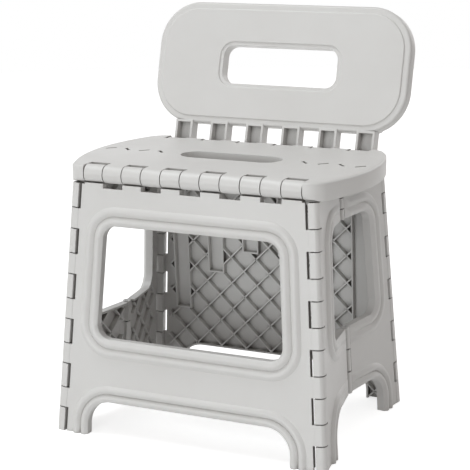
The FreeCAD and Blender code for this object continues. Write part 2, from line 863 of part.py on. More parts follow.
def seat_section():
    """Section of the seat, rounded about its hinge lines below, so that its ends turn clear of the legs."""
    radius = size("rim_height") / 2
    reach = size("hinge_half_depth") + radius
    points = [
        (-reach, rim_bottom, radius),
        (reach, rim_bottom, radius),
        (reach, size("seat_height"), 0),
        (-reach, size("seat_height"), 0),
    ]
    profile = sketch("seat_section_profile", rounded(points), endways)
    thing = add("Part::Extrusion", "seat_section", Base=profile, DirMode="Normal", Solid=True)
    return bind(thing, LengthFwd="Sizes.seat_half_width * 1 mm", LengthRev="Sizes.seat_half_width * 1 mm")


def seat():
    """Seat lid whose front and rear edges are open between the end blocks, with a row of knuckles in each."""
    collar, ribs = seat_ribs()
    knuckle = size("hinge_knuckle")
    gap = size("hinge_side_gap")
    places = hinge_places()
    reach = places[-1] + knuckle / 2 + gap
    inner = size("hinge_half_depth") - size("rim_height") / 2 - size("hinge_clearance")
    rows = []
    knuckles = [collar]
    bores = []
    for end, fit in ((-1, "pin_running"), (1, "pin_held")):
        row = add("Part::Box", "seat_row", Length=2 * reach, Width=reach_past + size("rim_height"),
                  Height=2 * reach_past + size("rim_height"))
        near = inner if end > 0 else -inner - row.Width.Value
        row.Placement = Placement(Vector(-reach, near, rim_bottom - reach_past), Rotation())
        rows.append(row)
        for left, right in zip(places[:-1], places[1:]):
            side = Placement(Vector(left + knuckle / 2 + gap, 0, 0), endways.Rotation)
            profile = sketch("seat_knuckle_profile", knuckle_profile(end), side)
            lug = add("Part::Extrusion", "seat_knuckle", Base=profile, DirMode="Normal", Solid=True)
            lug.LengthFwd = right - left - knuckle - 2 * gap
            knuckles.append(lug)
        pin_reach = places[-1] + knuckle
        bores.append(pin_hole("seat_bore", hinge_line(end), far_past - pin_reach, far_past + pin_reach,
                              "hinge_pin", fit))
    lid = add("Part::Common", "seat_round_edged", Base=seat_lid(), Tool=seat_section())
    lid = cut("seat_rows", lid, rows)
    slits = []
    for side in (-1, 1):
        for k in range(int(size("slit_count"))):
            slit = add("Part::Box", "seat_slit")
            bind(slit, Length="Sizes.slit_length * 1 mm", Width="Sizes.slit_width * 1 mm",
                 Height="Sizes.seat_top_wall * 2 mm")
            turn = Rotation(Vector(0, 0, 1), size("slit_turn") * (1 if k % 2 else -1))
            middle = Vector(side * (size("slit_start") + k * size("slit_step")), 0,
                            size("seat_height") - size("seat_top_wall"))
            half = Vector(size("slit_length") / 2, size("slit_width") / 2, 0)
            slit.Placement = Placement(middle - turn.multVec(half), turn)
            slits.append(slit)
    jointed = cut("seat_jointed", fuse("seat_knuckled", [lid] + knuckles), bores + slits)
    return fuse("seat", [jointed, ribs], False)


# Backrest, in a frame whose origin is its hinge line and whose up runs along its leaning face


def backrest_shell():
    body = add("PartDesign::Body", "backrest_shell")
    low = size("backrest_bottom")
    high = low + size("backrest_height")
    half = size("backrest_half_width")
    corner = size("backrest_corner")
    border = size("backrest_border")
    wall = size("backrest_wall")
    hole_low = low + size("hole_bottom")
    hole_high = hole_low + size("hole_height")
    hole_half = size("hole_half_width")
    hole_corner = size("hole_corner")

    def frame_outline(inset):
        return [(-half + inset, low + inset, corner - inset), (half - inset, low + inset, corner - inset),
                (half - inset, high - inset, corner - inset), (-half + inset, high - inset, corner - inset)]

    def hole_outline(grow):
        return [(-hole_half - grow, hole_low - grow, hole_corner + grow),
                (hole_half + grow, hole_low - grow, hole_corner + grow),
                (hole_half + grow, hole_high + grow, hole_corner + grow),
                (-hole_half - grow, hole_high + grow, hole_corner + grow)]

    base = "-(Sizes.backrest_set_back + Sizes.backrest_plateau) * 1 mm"
    face = body_sketch(body, "backrest_outline", "XZ_Plane", rounded(frame_outline(0)), base)
    block_pad = feature(body, "Pad", "backrest_block", Profile=face, Reversed=True)
    bind(block_pad, Length="Sizes.backrest_depth * 1 mm")
    doc.recompute()
    front = size("backrest_set_back") + size("backrest_plateau")
    rims = [f"Edge{i + 1}" for i, item in enumerate(block_pad.Shape.Edges)
            if max(abs(item.BoundBox.YMin - front), abs(item.BoundBox.YMax - front)) < same_place]
    soft = feature(body, "Chamfer", "backrest_edge", Base=(block_pad, rims))
    bind(soft, Size="Sizes.backrest_edge_bevel * 1 mm")
    raised = body_sketch(body, "plateau_outline", "XZ_Plane",
                         rounded(frame_outline(border)) + rounded(hole_outline(size("hole_step"))), base)
    plateau = feature(body, "Pad", "backrest_plateau", Profile=raised)
    bind(plateau, Length="Sizes.backrest_plateau * 1 mm")
    rear = body_sketch(body, "rear_outline", "XZ_Plane",
                       rounded(frame_outline(wall)) + rounded(hole_outline(wall)),
                       "-(Sizes.backrest_set_back + Sizes.backrest_plateau + Sizes.backrest_depth) * 1 mm")
    hollow = feature(body, "Pocket", "backrest_hollow", Profile=rear, Reversed=True)
    bind(hollow, Length="(Sizes.backrest_depth - Sizes.backrest_wall) * 1 mm")
    mouth = body_sketch(body, "hole_outline", "XZ_Plane", rounded(hole_outline(0)), "0 mm")
    hole = feature(body, "Pocket", "backrest_hole", Profile=mouth)
    bind(hole, Length="(Sizes.backrest_set_back + Sizes.backrest_depth) * 2 mm")
    body.Tip = hole
    doc.recompute()

    depth = size("backrest_set_back") + size("backrest_plateau") + size("backrest_wall")
    inside = rounded(frame_outline(wall / 2)) + rounded(hole_outline(wall / 2))
    field = flat_field("backrest_rib_field", inside)
    limits = (-half, half, low, high)
    ribs = lattice("backrest_lattice", field, limits, depth, depth + size("backrest_rib_depth"))
    return body, ribs


def arm_profile():
    """Hook from its round end at the hinge back and up to the backrest's lower edge."""
    front = size("backrest_set_back") + size("backrest_plateau") / 2
    rear = front + size("arm_depth")
    barrel_reach = size("arm_barrel")
    top = size("backrest_bottom") + size("backrest_wall")
    soft = barrel_reach * soft_share
    under = size("arm_under")
    return [
        (-barrel_reach, -barrel_reach, soft),
        (barrel_reach, -barrel_reach, size("arm_heel")),
        (barrel_reach, -under, 0),
        (rear, -under, size("arm_round")),
        (rear, top, 0),
        (front, top, 0),
        (front, barrel_reach, 0),
        (-barrel_reach, barrel_reach, soft),
    ]


def backrest():
    shell, ribs = backrest_shell()
    pieces = [shell]
    grooves = []
    wide = size("hinge_knuckle")
    wall = size("arm_wall")
    line = Vector(-far_past, 0, 0), Vector(far_past, 0, 0)
    for place in hinge_places():
        side = Placement(Vector(place - wide / 2, 0, 0), endways.Rotation)
        hook = sketch("arm_profile", rounded(arm_profile(), flats=int(size("knuckle_flats"))), side)
        arm = add("Part::Extrusion", "arm", Base=hook, DirMode="Normal", Solid=True)
        bind(arm, LengthFwd="Sizes.hinge_knuckle * 1 mm")
        pieces.append(arm)
        low = (size("arm_barrel") - size("arm_web")) / 2
        groove = add("Part::Box", "arm_groove", Length=wide - 2 * wall, Height=size("backrest_bottom") - low)
        groove.Width = size("backrest_set_back") + size("arm_depth") - size("arm_web") - size("arm_barrel")
        groove.Placement = Placement(Vector(place - wide / 2 + wall, size("arm_barrel"), low), Rotation())
        grooves.append(groove)
    bore = pin_hole("arm_bore", line, 0, 2 * far_past, "hinge_pin", "pin_running")
    frame = Placement(Vector(0, size("hinge_half_depth"), hinge_height),
                      Rotation(Vector(1, 0, 0), -size("backrest_lean")))
    armed = cut("backrest_armed", fuse("backrest_moulding", pieces), grooves + [bore])
    return fuse("backrest", [armed, ribs], False), frame


# The whole stool


nodes = {}

for label, end, shut in (("front_panel", -1, False), ("rear_panel", 1, True)):
    panel, frame = leg_panel(label, end, shut)
    panel.Placement = frame
    nodes[label] = panel

for word, side in (("left", -1), ("right", 1)):
    for place, end in (("front", -1), ("rear", 1)):
        label = f"{word}_{place}_side"
        open_end = side > 0 and end > 0
        half, frame = side_half(label, side, end, "open_pivot" if open_end else "pin_running")
        half.Placement = frame
        nodes[label] = half

nodes["seat"] = seat()
nodes["backrest"], frame = backrest()
nodes["backrest"].Placement = frame

reach = hinge_places()[-1] + size("hinge_knuckle")
run = far_past - reach, far_past + reach
for label, end in (("seat_hinge_pin", -1), ("backrest_hinge_pin", 1)):
    nodes[label] = barrel(label, hinge_line(end), *run, "Sizes.hinge_pin * 1 mm")
run = size("corner_pin_end"), along_corner(panel_top) - size("corner_pin_end")
for end, place in ((-1, "front"), (1, "rear")):
    for side, word in ((-1, "left"), (1, "right")):
        label = f"{place}_{word}_corner_pin"
        nodes[label] = barrel(label, corner_line(side, end), *run, "Sizes.corner_pin * 1 mm")
for side, word in ((-1, "left"), (1, "right")):
    lower = middle_runs(False)[0][0], middle_runs(False)[1][1]
    upper = middle_runs(True)[1][0], middle_runs(False)[2][1]
    for level, run in (("upper", upper), ("lower", lower)):
        label = f"{word}_{level}_middle_pin"
        nodes[label] = barrel(label, middle_line(side), *run, "Sizes.middle_pin * 1 mm")

doc.recompute()

# The origin is on the floor, under the middle of the whole object's box.
boxes = [node.Shape.BoundBox for node in nodes.values()]
middle_depth = (min(box.YMin for box in boxes) + max(box.YMax for box in boxes)) / 2
for label, node in nodes.items():
    node.Label = label
    node.Placement = Placement(Vector(0, -middle_depth, 0), Rotation()).multiply(node.Placement)

for thing in doc.Objects:
    if "Invalid" in thing.State or "Error" in thing.State:
        raise RuntimeError(f"{thing.Label} failed: {thing.State}")
for label, node in nodes.items():
    if node.Shape.isNull() or not node.Shape.isValid() or len(node.Shape.Solids) != 1:
        raise RuntimeError(f"{label} is not one sound solid")

os.makedirs("parts", exist_ok=True)
for label, node in nodes.items():
    node.Shape.exportStep(f"parts/{label}.step")
print(f"{len(nodes)} pieces, shifted {middle_depth:.4f} mm towards the front")
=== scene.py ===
import bmesh
import bpy
import json
import math
from mathutils import Matrix, Vector


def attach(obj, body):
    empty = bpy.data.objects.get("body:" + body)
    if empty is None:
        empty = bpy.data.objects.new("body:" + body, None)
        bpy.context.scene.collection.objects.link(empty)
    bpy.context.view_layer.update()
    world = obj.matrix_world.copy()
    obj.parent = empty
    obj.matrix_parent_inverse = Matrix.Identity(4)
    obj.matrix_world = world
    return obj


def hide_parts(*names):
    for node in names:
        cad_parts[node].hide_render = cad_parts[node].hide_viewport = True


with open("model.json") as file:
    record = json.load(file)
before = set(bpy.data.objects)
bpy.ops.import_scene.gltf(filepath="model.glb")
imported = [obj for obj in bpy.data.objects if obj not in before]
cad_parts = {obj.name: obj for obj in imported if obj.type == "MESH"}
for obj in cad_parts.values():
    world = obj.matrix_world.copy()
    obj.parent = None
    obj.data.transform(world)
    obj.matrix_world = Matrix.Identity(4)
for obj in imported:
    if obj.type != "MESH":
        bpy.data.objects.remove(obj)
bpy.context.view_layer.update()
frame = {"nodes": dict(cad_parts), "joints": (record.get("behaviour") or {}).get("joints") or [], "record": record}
nodes = frame["nodes"]
joints = {joint["name"]: joint for joint in frame["joints"]}
bodyOf = {node: body for body, members in frame["record"]["behaviour"]["bodies"].items() for node in members}
scene = bpy.context.scene
scene.view_settings.view_transform = "Standard"
print("frame loaded with", len(nodes), "nodes")


# finishes

mixSockets = {"share": 0, "first": 6, "second": 7, "colour": 2}  # a Mix node's sockets for colours


def newGroup(name, given, made):
    group = bpy.data.node_groups.new(name, "ShaderNodeTree")
    for label, kind, value in given:
        socket = group.interface.new_socket(label, in_out="INPUT", socket_type=kind)
        if value is not None:
            socket.default_value = value
    for label, kind in made:
        group.interface.new_socket(label, in_out="OUTPUT", socket_type=kind)
    return group, group.nodes.new("NodeGroupInput"), group.nodes.new("NodeGroupOutput")


def groupNode(tree, group, values):
    node = tree.nodes.new("ShaderNodeGroup")
    node.node_tree = group
    for label, value in values.items():
        node.inputs[label].default_value = value
    return node


def noiseNode(tree, detail, rough):
    node = tree.nodes.new("ShaderNodeTexNoise")
    node.inputs["Detail"].default_value = detail
    node.inputs["Roughness"].default_value = rough
    return node


def mathNode(tree, operation, second=None):
    node = tree.nodes.new("ShaderNodeMath")
    node.operation = operation
    if second is not None:
        node.inputs[1].default_value = second
    return node


def mixNode(tree, first=None, second=None):
    node = tree.nodes.new("ShaderNodeMix")
    node.data_type = "RGBA"
    for label, colour in (("first", first), ("second", second)):
        if colour is not None:
            node.inputs[mixSockets[label]].default_value = (*colour, 1)
    return node


def rangeNode(tree, low, high, toLow, toHigh):
    node = tree.nodes.new("ShaderNodeMapRange")
    for label, value in (("From Min", low), ("From Max", high), ("To Min", toLow), ("To Max", toHigh)):
        node.inputs[label].default_value = value
    return node


# noises are given as detail and roughness
grainMake = {"grain": 1500, "patch": 12, "grainNoise": (3, 0.6), "patchNoise": (5, 0.55),
             "patches": (0.3, 0.7)}
# pale edge line, partly rubbed wear and partly painted highlight: bevel radius, noise break-up, samples and bend
# range
edgeRubAndHighlightMake = {"radius": 0.001, "break": 90, "samples": 6, "bend": (0.985, 0.8), "noise": (3, 0.6)}
# painted shade in recesses: reach and samples of the occlusion, the ends of its range, and the strongest darkening
recessShadeMake = {"reach": 0.018, "samples": 8, "closed": (0.6, 0.2), "most": 0.95}


def makeMouldGrain():  # spark-eroded mould texture, and cloudy patches from the flow of the plastic
    group, given, made = newGroup(
        "mouldGrain",
        [("Vector", "NodeSocketVector", None), ("Grain", "NodeSocketFloat", grainMake["grain"]),
         ("Patch", "NodeSocketFloat", grainMake["patch"])],
        [("Height", "NodeSocketFloat"), ("Patches", "NodeSocketFloat")])
    join = group.links.new
    grain = noiseNode(group, *grainMake["grainNoise"])
    patch = noiseNode(group, *grainMake["patchNoise"])
    for node, scale in ((grain, "Grain"), (patch, "Patch")):
        join(given.outputs["Vector"], node.inputs["Vector"])
        join(given.outputs[scale], node.inputs["Scale"])
    spread = rangeNode(group, *grainMake["patches"], 0, 1)
    join(patch.outputs["Fac"], spread.inputs["Value"])
    join(grain.outputs["Fac"], made.inputs["Height"])
    join(spread.outputs["Result"], made.inputs["Patches"])
    return group


def makeEdgeRubAndHighlight():  # rounded edges, and a pale line along them that is partly rubbed wear and partly painted highlight
    group, given, made = newGroup(
        "edgeRubAndHighlight",
        [("Vector", "NodeSocketVector", None), ("Radius", "NodeSocketFloat", edgeRubAndHighlightMake["radius"]),
         ("Break", "NodeSocketFloat", edgeRubAndHighlightMake["break"])],
        [("Mask", "NodeSocketFloat"), ("Normal", "NodeSocketVector")])
    join = group.links.new
    bevel = group.nodes.new("ShaderNodeBevel")
    bevel.samples = edgeRubAndHighlightMake["samples"]
    surface = group.nodes.new("ShaderNodeNewGeometry")
    turn = group.nodes.new("ShaderNodeVectorMath")
    turn.operation = "DOT_PRODUCT"
    bend = rangeNode(group, *edgeRubAndHighlightMake["bend"], 0, 1)
    patchy = noiseNode(group, *edgeRubAndHighlightMake["noise"])
    wornAndHighlit = mathNode(group, "MULTIPLY")
    join(given.outputs["Radius"], bevel.inputs["Radius"])
    join(bevel.outputs["Normal"], turn.inputs[0])
    join(surface.outputs["Normal"], turn.inputs[1])
    join(turn.outputs["Value"], bend.inputs["Value"])
    join(given.outputs["Vector"], patchy.inputs["Vector"])
    join(given.outputs["Break"], patchy.inputs["Scale"])
    join(bend.outputs["Result"], wornAndHighlit.inputs[0])
    join(patchy.outputs["Fac"], wornAndHighlit.inputs[1])
    join(wornAndHighlit.outputs["Value"], made.inputs["Mask"])
    join(bevel.outputs["Normal"], made.inputs["Normal"])
    return group


def makeRecessShade():  # painted shade: ambient occlusion darkens the colour in gaps, slots and narrow hollows where shade falls
    group, given, made = newGroup(
        "paintedRecessShade", [("Reach", "NodeSocketFloat", recessShadeMake["reach"])], [("Mask", "NodeSocketFloat")])
    closeness = group.nodes.new("ShaderNodeAmbientOcclusion")
    closeness.samples = recessShadeMake["samples"]
    spread = rangeNode(group, *recessShadeMake["closed"], 0, recessShadeMake["most"])
    group.links.new(given.outputs["Reach"], closeness.inputs["Distance"])
    group.links.new(closeness.outputs["AO"], spread.inputs["Value"])
    group.links.new(spread.outputs["Result"], made.inputs["Mask"])
    return group


mouldGrain = makeMouldGrain()
edgeRubAndHighlight = makeEdgeRubAndHighlight()
paintedRecessShade = makeRecessShade()


def mouldedPlastic(name, look):
    material = bpy.data.materials.new(name)
    material.use_nodes = True
    tree = material.node_tree
    join = tree.links.new
    shader = tree.nodes["Principled BSDF"]
    shader.inputs["IOR"].default_value = look["ior"]
    place = tree.nodes.new("ShaderNodeTexCoord")
    grain = groupNode(tree, mouldGrain, {"Grain": look["grain"], "Patch": look["patch"]})
    rubAndHighlight = groupNode(tree, edgeRubAndHighlight, {"Radius": look["edge"]})
    # mask of painted shade from ambient occlusion
    paintedShade = groupNode(tree, paintedRecessShade, {"Reach": look["recess"]})
    for node in (grain, rubAndHighlight):
        join(place.outputs["Object"], node.inputs["Vector"])
    tint = mixNode(tree, look["deep"], look["pale"])
    # the edge line lightens the colour: partly rubbed wear, partly painted highlight
    wornAndHighlit = mixNode(tree, second=look["rubbedAndHighlit"])
    # painted shade: the colour is darkened towards the shade colour in recesses
    shaded = mixNode(tree, second=look["paintedShade"])
    for node, mask, mix in ((grain, "Patches", tint), (rubAndHighlight, "Mask", wornAndHighlit), (paintedShade, "Mask", shaded)):
        join(node.outputs[mask], mix.inputs[mixSockets["share"]])
    for mix, after in ((tint, wornAndHighlit), (wornAndHighlit, shaded)):
        join(mix.outputs[mixSockets["colour"]], after.inputs[mixSockets["first"]])
    join(shaded.outputs[mixSockets["colour"]], shader.inputs["Base Color"])
    rough = rangeNode(tree, 0, 1, *look["rough"])
    join(grain.outputs["Patches"], rough.inputs["Value"])
    join(rough.outputs["Result"], shader.inputs["Roughness"])
    bump = tree.nodes.new("ShaderNodeBump")
    bump.inputs["Strength"].default_value = look["bump"]
    bump.inputs["Distance"].default_value = look["depth"]
    join(grain.outputs["Height"], bump.inputs["Height"])
    join(rubAndHighlight.outputs["Normal"], bump.inputs["Normal"])
    join(bump.outputs["Normal"], shader.inputs["Normal"])
    return material


# in each look the dark colour given last is painted shade for recesses
# in each look the lightest colour is the pale edge line, partly rubbed wear and partly painted highlight
greyLook = {"pale": (0.668, 0.656, 0.642), "deep": (0.638, 0.624, 0.608), "rubbedAndHighlit": (0.75, 0.74, 0.728),
            "rough": (0.48, 0.38), "ior": 1.49, "grain": 1500, "patch": 12, "bump": 0.25, "depth": 0.0002,
            "edge": 0.0008, "recess": 0.01, "paintedShade": (0.19, 0.175, 0.16)}
pinLook = {"pale": (0.42, 0.42, 0.42), "deep": (0.36, 0.36, 0.36), "rubbedAndHighlit": (0.5, 0.5, 0.5),
           "rough": (0.4, 0.3), "ior": 1.49, "grain": 2600, "patch": 60, "bump": 0.15, "depth": 0.0001,
           "edge": 0.0003, "recess": 0.008, "paintedShade": (0.15, 0.14, 0.13)}
greyPlastic = mouldedPlastic("greyMouldedPlastic", greyLook)
pinPlastic = mouldedPlastic("pinPlastic", pinLook)
print("finishes made")


# panels: across, inward and up on the outer face of each leg panel and side half

legs = {"middle": -0.0202585, "cornerDepth": 0.0048, "middleDepth": 0.0013, "top": 0.256, "measured": 0.25}


def hingeLine(joint, mirrored=False):
    place = Vector(joints[joint]["pos_m"])
    along = Vector(joints[joint]["axis"])
    if along.z < 0:
        along.negate()
    if mirrored:
        place.x, along.x = -place.x, -along.x
    return place, along


def panelFrame(foot, along, far, farDepth, start):
    outward = along.cross(far - foot).normalized()
    if outward.dot(Vector((foot.x + far.x, foot.y + far.y - 2 * legs["middle"], 0))) < 0:
        outward.negate()
    face = along.cross(far + outward * farDepth - foot - outward * legs["cornerDepth"]).normalized()
    if face.dot(outward) < 0:
        face.negate()
    rise = (Vector((0, 0, 1)) - face * face.z).normalized()
    origin = start + face * legs["cornerDepth"]
    origin -= rise * (origin.z / rise.z)
    turn = Matrix((-face.cross(rise), -face, rise)).transposed().to_4x4()
    return Matrix.Translation(origin) @ turn


def acrossAt(panel, line, up):  # where a hinge line crosses a panel at a height
    back = panel.inverted()
    foot, head = back @ line[0], back @ (line[0] + line[1] * legs["measured"])
    return foot.x + (head.x - foot.x) * (up - foot.z) / (head.z - foot.z)


corners = {"leftFront": hingeLine("left_front_corner"), "rightFront": hingeLine("right_front_corner"),
           "leftRear": hingeLine("left_rear_corner"), "rightRear": hingeLine("left_rear_corner", True)}
middles = {"left": hingeLine("left_middle"), "right": hingeLine("right_middle")}
hinges = {"front_panel": (corners["leftFront"], corners["rightFront"]),
          "rear_panel": (corners["leftRear"], corners["rightRear"]),
          "left_front_side": (corners["leftFront"], middles["left"]),
          "left_rear_side": (corners["leftRear"], middles["left"]),
          "right_front_side": (corners["rightFront"], middles["right"]),
          "right_rear_side": (corners["rightRear"], middles["right"])}


def outerFace(node):
    first, second = hinges[node]
    if node.endswith("_panel"):
        return panelFrame(*first, second[0], legs["cornerDepth"], (first[0] + second[0]) / 2)
    return panelFrame(*first, second[0], legs["middleDepth"], first[0])


panels = {node: outerFace(node) for node in hinges}
restLean = math.radians(-15)  # the backrest leans back from its hinge
restPlace = Vector(joints["backrest_fold"]["pos_m"])
leaning = Matrix.Translation((0, restPlace.y, restPlace.z)) @ Matrix.Rotation(restLean, 4, "X")


# mouldings: each is its CAD solid with merged facets, fuller relief and soft shading

mouldings = {"merge": 0.00001, "crease": math.radians(52), "near": 0.0002}
mouldingNames = {"front_panel": "frontPanelMoulding", "rear_panel": "rearPanelMoulding",
                 "left_front_side": "leftFrontSideMoulding", "left_rear_side": "leftRearSideMoulding",
                 "right_front_side": "rightFrontSideMoulding", "right_rear_side": "rightRearSideMoulding",
                 "seat": "seatMoulding", "backrest": "backrestMoulding"}


def addPiece(name, bm, body):
    mesh = bpy.data.meshes.new(name)
    bm.to_mesh(mesh)
    bm.free()
    mesh.materials.append(greyPlastic)
    piece = bpy.data.objects.new(name, mesh)
    scene.collection.objects.link(piece)
    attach(piece, body)
    return piece


seatSlits = {"start": 0.08, "step": 0.0195, "count": 4, "reach": 0.0045, "under": 0.2715,
             "stretch": (1.4, 2.2)}


def slitPlaces():  # middle and lean of each slit beside the hand slot
    for side in (-1, 1):
        for count in range(seatSlits["count"]):
            place = Vector((side * (seatSlits["start"] + count * seatSlits["step"]), legs["middle"], 0))
            yield place, 1 if count % 2 else -1


def openSlits(bm):  # the slits are drawn out towards the front and the rear
    for middle, _ in slitPlaces():
        near = [vert for vert in bm.verts if vert.co.z > seatSlits["under"]
                and (vert.co.xy - middle.xy).length < seatSlits["reach"]]
        bmesh.ops.scale(bm, vec=(*seatSlits["stretch"], 1), space=Matrix.Translation(-middle), verts=near)


hingeSlots = {"reach": 0.096, "depth": 0.0032, "near": 0.0004}


def openHingeSlots(bm):  # the front panel's top edge dips under the seat's knuckles
    edge = [vert for vert in bm.verts if abs(vert.co.z - legs["top"]) < hingeSlots["near"]
            and abs(vert.co.x) < hingeSlots["reach"]]
    bmesh.ops.translate(bm, vec=(0, 0, -hingeSlots["depth"]), verts=edge)


ribTops = {"solid": 0.006, "head": 0.256,
           "raised": {"rear_panel": 0.0086, "left_front_side": 0.008, "right_front_side": 0.008}}


def ribTop(node):
    return ribTops["raised"].get(node, ribTops["solid"])


def raiseRibs(bm, node):  # the lattice stands nearly as tall as the troughs
    panel = panels[node]
    back = panel.inverted()
    tops = []
    for vert in bm.verts:
        place = back @ vert.co
        if abs(place.y - ribTops["solid"]) < mouldings["near"] and place.z < ribTops["head"]:
            tops.append(vert)
    bmesh.ops.translate(bm, vec=panel.to_3x3() @ Vector((0, ribTop(node) - ribTops["solid"], 0)), verts=tops)


# atCorner and atMiddle: the distance from a hinge line that stays clear, and the one over which beads rise
beadRolls = {"grow": 0.6, "least": 0.0002, "atCorner": (0.01, 0.004), "atMiddle": (0.022, 0.02),
             "head": 0.245, "crease": math.radians(20)}


def beadShare(place):  # nothing is added at the hinges, and the whole growth further off
    share = 1 if place.z < beadRolls["head"] else 0
    for lines, (clear, fade) in ((corners, beadRolls["atCorner"]), (middles, beadRolls["atMiddle"])):
        for foot, along in lines.values():
            off = place - foot
            gap = (off - along * off.dot(along)).length - clear
            share = min(share, max(0, gap / fade))
    return share


def raiseBeads(bm, node):  # the double beads round the openings are full rolls
    back, turn = panels[node].inverted(), panels[node].to_3x3()
    for vert in bm.verts:
        proud = -(back @ vert.co).y
        if proud > beadRolls["least"]:
            vert.co -= turn @ Vector((0, proud * beadRolls["grow"] * beadShare(vert.co), 0))


def beadFeet(bm, node):  # points on a panel's outer face, where the beads start
    back = panels[node].inverted()
    return {vert for vert in bm.verts if abs((back @ vert.co).y) < beadRolls["least"]}


armHollows = {"behind": 0.0162, "top": 0.0315, "reach": 0.118, "deeper": 0.0048}
softEdges = {"flat": math.radians(0.5), "sharp": 1, "face": 0.0107, "roll": 0.0014, "segments": 4}


def deepenArms(bm):  # the hollow front of each arm runs back to the backrest's rear edge
    back = leaning.inverted()
    rear = []
    for vert in bm.verts:
        place = back @ vert.co
        low = place.z < armHollows["top"] and abs(place.x) < armHollows["reach"]
        if low and place.y > armHollows["behind"]:
            rear.append(vert)
    bmesh.ops.translate(bm, vec=leaning.to_3x3() @ Vector((0, armHollows["deeper"], 0)), verts=rear)


def softenBackrest(bm):  # the raised face has a rolled edge all round and at the hand hole
    back = leaning.inverted()
    bmesh.ops.dissolve_limit(bm, angle_limit=softEdges["flat"], verts=bm.verts, edges=bm.edges)
    rims = []
    for edge in bm.edges:
        ends = [back @ vert.co for vert in edge.verts]
        front = all(abs(end.y - softEdges["face"]) < mouldings["near"] and end.z > armHollows["top"]
                    for end in ends)
        if front and len(edge.link_faces) == 2 and edge.calc_face_angle() > softEdges["sharp"]:
            rims.append(edge)
    bmesh.ops.bevel(bm, geom=rims, offset=softEdges["roll"], offset_type="OFFSET",
                    segments=softEdges["segments"], profile=0.5, affect="EDGES", material=-1)


def shapeBackrest(bm):
    deepenArms(bm)
    softenBackrest(bm)


touchUps = {"seat": openSlits, "front_panel": openHingeSlots, "backrest": shapeBackrest}


def dressMoulding(node, name):
    bm = bmesh.new()
    bm.from_mesh(nodes[node].data)
    bmesh.ops.remove_doubles(bm, verts=bm.verts, dist=mouldings["merge"])
    if node in touchUps:
        touchUps[node](bm)
    if node in ribTops["raised"]:
        raiseRibs(bm, node)
    if node in panels:
        raiseBeads(bm, node)
    for face in bm.faces:
        face.smooth = True
        face.material_index = 0
    feet = beadFeet(bm, node) if node in panels else set()
    for edge in bm.edges:
        crease = beadRolls["crease"] if feet.issuperset(edge.verts) else mouldings["crease"]
        edge.smooth = len(edge.link_faces) == 2 and edge.calc_face_angle() < crease
    piece = addPiece(name, bm, bodyOf[node])
    ownNormals = piece.data.attributes.get("custom_normal")
    if ownNormals:
        piece.data.attributes.remove(ownNormals)
    even = piece.modifiers.new("evenShading", "WEIGHTED_NORMAL")
    even.keep_sharp = True
    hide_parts(node)


for node, name in mouldingNames.items():
    dressMoulding(node, name)
for node, piece in nodes.items():
    if node.endswith("_pin"):
        for slot in piece.material_slots:
            slot.material = pinPlastic
print("mouldings dressed:", len(mouldingNames))


# flanges inside the front panel and cells under the seat's slits

ribLow = 0.0021  # ribs start just inside the panels' skin
edgeFlange = {"inset": 0.0074, "wall": 0.002, "depth": 0.0055, "foot": 0.003, "top": 0.002}
slitWells = {"top": 0.2722, "deep": 0.0095, "long": 0.0155, "wide": 0.0076, "wall": 0.001,
             "turn": math.radians(52), "upward": 0.9}


def flangeFrontEdges():  # a low wall inside the front panel closes the view through its knuckle slots
    bm = bmesh.new()
    panel = panels["front_panel"]
    back = panel.inverted()
    tall = legs["top"] - edgeFlange["top"] - edgeFlange["foot"]
    for line in hinges["front_panel"]:
        foot, along = back @ line[0], back.to_3x3() @ line[1]
        hand = 1 if foot.x > 0 else -1
        lean = Matrix.Shear("XY", 4, (along.x / along.z, 0))
        middle = Vector((foot.x - hand * (edgeFlange["inset"] + edgeFlange["wall"] / 2),
                         (ribLow + edgeFlange["depth"]) / 2, edgeFlange["foot"] + tall / 2))
        size = Vector((edgeFlange["wall"], edgeFlange["depth"] - ribLow, tall))
        bmesh.ops.create_cube(bm, size=1, matrix=panel @ lean @ Matrix.LocRotScale(middle, None, size))
    addPiece("frontPanelEdgeFlanges", bm, "front")


def makeSlitWells():
    bm = bmesh.new()
    for middle, lean in slitPlaces():
        place = middle + Vector((0, 0, slitWells["top"] - slitWells["deep"] / 2))
        turn = Matrix.Rotation(slitWells["turn"] * lean, 3, "Z").to_quaternion()
        size = Vector((slitWells["long"], slitWells["wide"], slitWells["deep"]))
        cell = bmesh.ops.create_cube(bm, size=1, matrix=Matrix.LocRotScale(place, turn, size))["verts"]
        sides = {face for vert in cell for face in vert.link_faces}
        lid = [face for face in sides if face.normal.z > slitWells["upward"]]
        bmesh.ops.inset_region(bm, faces=lid, thickness=slitWells["wall"], use_even_offset=True)
        bmesh.ops.translate(bm, vec=(0, 0, slitWells["wall"] - slitWells["deep"]), verts=lid[0].verts)
    addPiece("seatSlitWells", bm, "seat")


flangeFrontEdges()
makeSlitWells()
print("flanges and slit wells added")


# fine ribs between the main ribs of the inner faces

fineRibs = {"wall": 0.0016, "sunk": 0.0004, "step": 0.0426 / math.sqrt(2), "lines": 16, "foot": 0.003,
            "frontHead": 0.013, "margin": 0.014, "sideMargin": 0.024, "foldMargin": 0.0126,
            "cornerSteps": 5, "parallel": 1e-12}
gapEnds = {"overlap": 0.0011, "below": -0.04, "above": 0.02, "past": 0.021}  # gaps run off the panels
frontWindow = {"top": 0.2165, "bottom": 0.1015, "inset": 0.035, "corner": 0.014}
legArch = {"top": 0.0365, "inset": 0.032, "corner": 0.026}
sideWindow = {"top": 0.221, "bottom": 0.111, "inset": 0.037, "corner": 0.014}
sideArch = {"top": 0.042, "inset": 0.0355, "corner": 0.026}
troughs = {"pitch": 0.0422, "width": 0.019, "lengths": (0.177, 0.131, 0.105, 0.105, 0.131, 0.177)}


